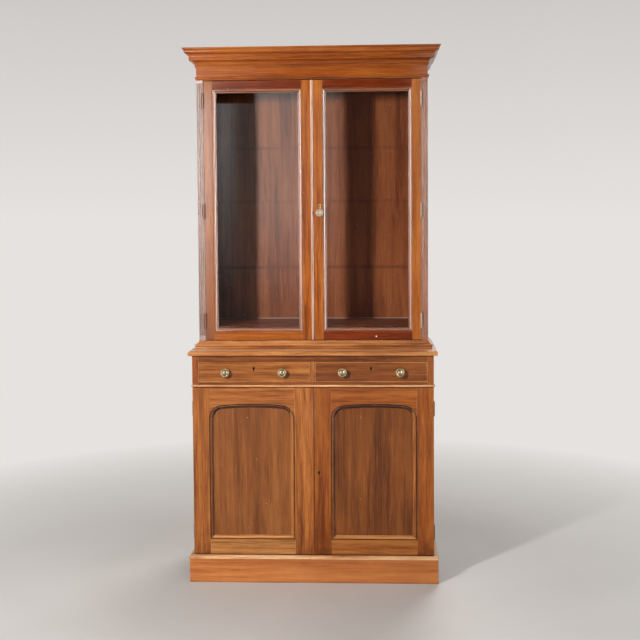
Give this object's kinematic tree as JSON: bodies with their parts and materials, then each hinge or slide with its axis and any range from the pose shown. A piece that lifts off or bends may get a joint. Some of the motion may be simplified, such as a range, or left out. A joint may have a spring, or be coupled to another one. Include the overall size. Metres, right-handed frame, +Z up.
{
  "type": "glazed bookcase on a cupboard base",
  "caption": "Tall mahogany bookcase in two stages: a glazed upper case under a moulded cornice, on a base with drawers above panelled cupboard doors with arched heads.",
  "frame": {"origin": "on the floor, under the middle of the object's bounding box", "axes": "+X to the object's right seen from the front, +Y to its back, +Z up"},
  "size_m": [1.072, 0.478, 2.235],
  "materials": {
    "mahogany": "worn french polish, satin",
    "panel_mahogany": "worn french polish over figured veneer",
    "secondary_wood": "stained softwood, dry",
    "brass": "aged, handled bright",
    "glass": "old sheet glass"
  },
  "bodies": {
    "carcass": {"base_side_left": "mahogany", "base_side_right": "mahogany", "base_bottom_board": "secondary_wood", "base_back_boards": "secondary_wood", "base_top_board": "mahogany", "plinth_boards": "mahogany", "plinth_moulding": "mahogany", "waist_bead": "mahogany", "drawer_bottom_rail": "mahogany", "drawer_top_rail": "mahogany", "drawer_divider": "mahogany", "drawer_runners": "secondary_wood", "base_shelf": "secondary_wood", "base_shelf_bearers": "secondary_wood", "case_side_left": "mahogany", "case_side_right": "mahogany", "case_bottom_board": "secondary_wood", "case_top_board": "secondary_wood", "case_back_boards": "secondary_wood", "pilaster_left": "mahogany", "pilaster_right": "mahogany", "case_base_rail": "secondary_wood", "case_base_moulding": "mahogany", "frieze_board": "mahogany", "frieze_bead": "mahogany", "cornice_moulding": "mahogany", "case_shelf_bearers": "secondary_wood", "upper_hinges": "brass", "lower_hinges": "brass"},
    "upper_door_left": {"upper_left_frame": "mahogany", "upper_left_moulding": "mahogany", "upper_left_glass": "glass", "upper_left_glazing_beads": "mahogany", "upper_left_meeting_bead": "mahogany", "upper_left_hinge_leaves": "brass"},
    "upper_door_right": {"upper_right_frame": "mahogany", "upper_right_moulding": "mahogany", "upper_right_glass": "glass", "upper_right_glazing_beads": "mahogany", "upper_right_hinge_leaves": "brass", "upper_lock": "brass"},
    "turn_knob": {"upper_knob": "brass"},
    "lower_door_left": {"lower_left_frame": "mahogany", "lower_left_moulding": "mahogany", "lower_left_panel": "panel_mahogany", "lower_left_meeting_bead": "mahogany", "lower_left_hinge_leaves": "brass"},
    "lower_door_right": {"lower_right_frame": "mahogany", "lower_right_moulding": "mahogany", "lower_right_panel": "panel_mahogany", "lower_right_hinge_leaves": "brass", "lower_lock": "brass"},
    "drawer_left": {"drawer_left_front": "mahogany", "drawer_left_box": "secondary_wood", "drawer_left_knobs": "brass", "drawer_left_lock": "brass"},
    "drawer_right": {"drawer_right_front": "mahogany", "drawer_right_box": "secondary_wood", "drawer_right_knobs": "brass", "drawer_right_lock": "brass"}
  },
  "joints": [
    {"name": "upper_door_left_hinge", "type": "hinge", "parent": "carcass", "child": "upper_door_left", "pos_m": [-0.45625, -0.124, 1.5555], "axis": [0, 0, -1], "range_deg": [0, 165]},
    {"name": "upper_door_right_hinge", "type": "hinge", "parent": "carcass", "child": "upper_door_right", "pos_m": [0.45625, -0.124, 1.5555], "axis": [0, 0, 1], "range_deg": [0, 165]},
    {"name": "turn_knob_spindle", "type": "hinge", "parent": "upper_door_right", "child": "turn_knob", "pos_m": [0.0315, -0.121, 1.547], "axis": [0, 1, 0], "range_deg": [0, 90]},
    {"name": "lower_door_left_hinge", "type": "hinge", "parent": "carcass", "child": "lower_door_left", "pos_m": [-0.5045, -0.18825, 0.4675], "axis": [0, 0, -1], "range_deg": [0, 165]},
    {"name": "lower_door_right_hinge", "type": "hinge", "parent": "carcass", "child": "lower_door_right", "pos_m": [0.5045, -0.18825, 0.4675], "axis": [0, 0, 1], "range_deg": [0, 165]},
    {"name": "drawer_left_slide", "type": "slide", "parent": "carcass", "child": "drawer_left", "axis": [0, -1, 0], "range_m": [0, 0.28]},
    {"name": "drawer_right_slide", "type": "slide", "parent": "carcass", "child": "drawer_right", "axis": [0, -1, 0], "range_m": [0, 0.28]}
  ]
}
